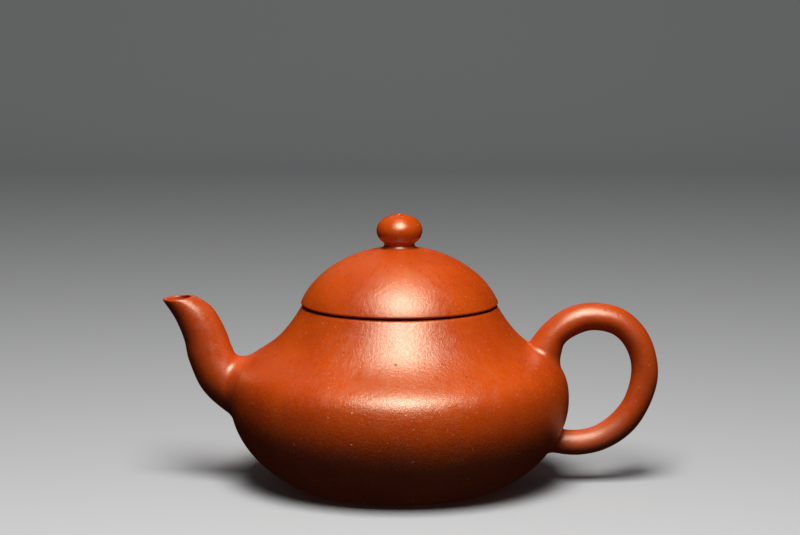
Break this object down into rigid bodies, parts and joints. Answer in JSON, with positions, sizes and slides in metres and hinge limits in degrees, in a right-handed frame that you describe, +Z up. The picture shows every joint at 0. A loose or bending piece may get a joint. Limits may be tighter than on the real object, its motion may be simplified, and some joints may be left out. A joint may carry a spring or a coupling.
{
  "type": "yixing clay teapot",
  "caption": "Small round unglazed clay teapot: full belly, hollow shoulder, domed lift-off lid with a bead knob, curved spout and ear-shaped handle.",
  "frame": {"origin": "bottom centre of the whole pot's box, on the surface that the pot stands on; the round body's axis is at x = -0.0028 m, y = 0", "axes": "+X towards the handle and -X towards the spout, +Z up, and y = 0 is the plane that the spout, body and handle share"},
  "size_m": [0.1286, 0.088, 0.0707],
  "materials": {
    "clay_burnished": "satin",
    "clay_smooth": "satin",
    "clay_plain": "matte"
  },
  "bodies": {
    "pot": {"base_disc": "clay_plain", "body_wall": "clay_burnished", "shoulder_disc": "clay_burnished", "mouth_ring": "clay_burnished", "spout": "clay_smooth", "strainer": "clay_plain", "handle": "clay_smooth"},
    "lid_ring": {"lid_flange": "clay_plain"},
    "lid": {"lid_dome": "clay_burnished", "knob": "clay_smooth"}
  },
  "joints": [
    {"name": "lid_lift", "type": "slide", "parent": "pot", "child": "lid_ring", "axis": [0, 0, 1], "range_m": [0, 0.06]},
    {"name": "lid_turn", "type": "hinge", "parent": "lid_ring", "child": "lid", "pos_m": [-0.0028, 0, 0.04745], "axis": [0, 0, 1], "continuous": true}
  ]
}
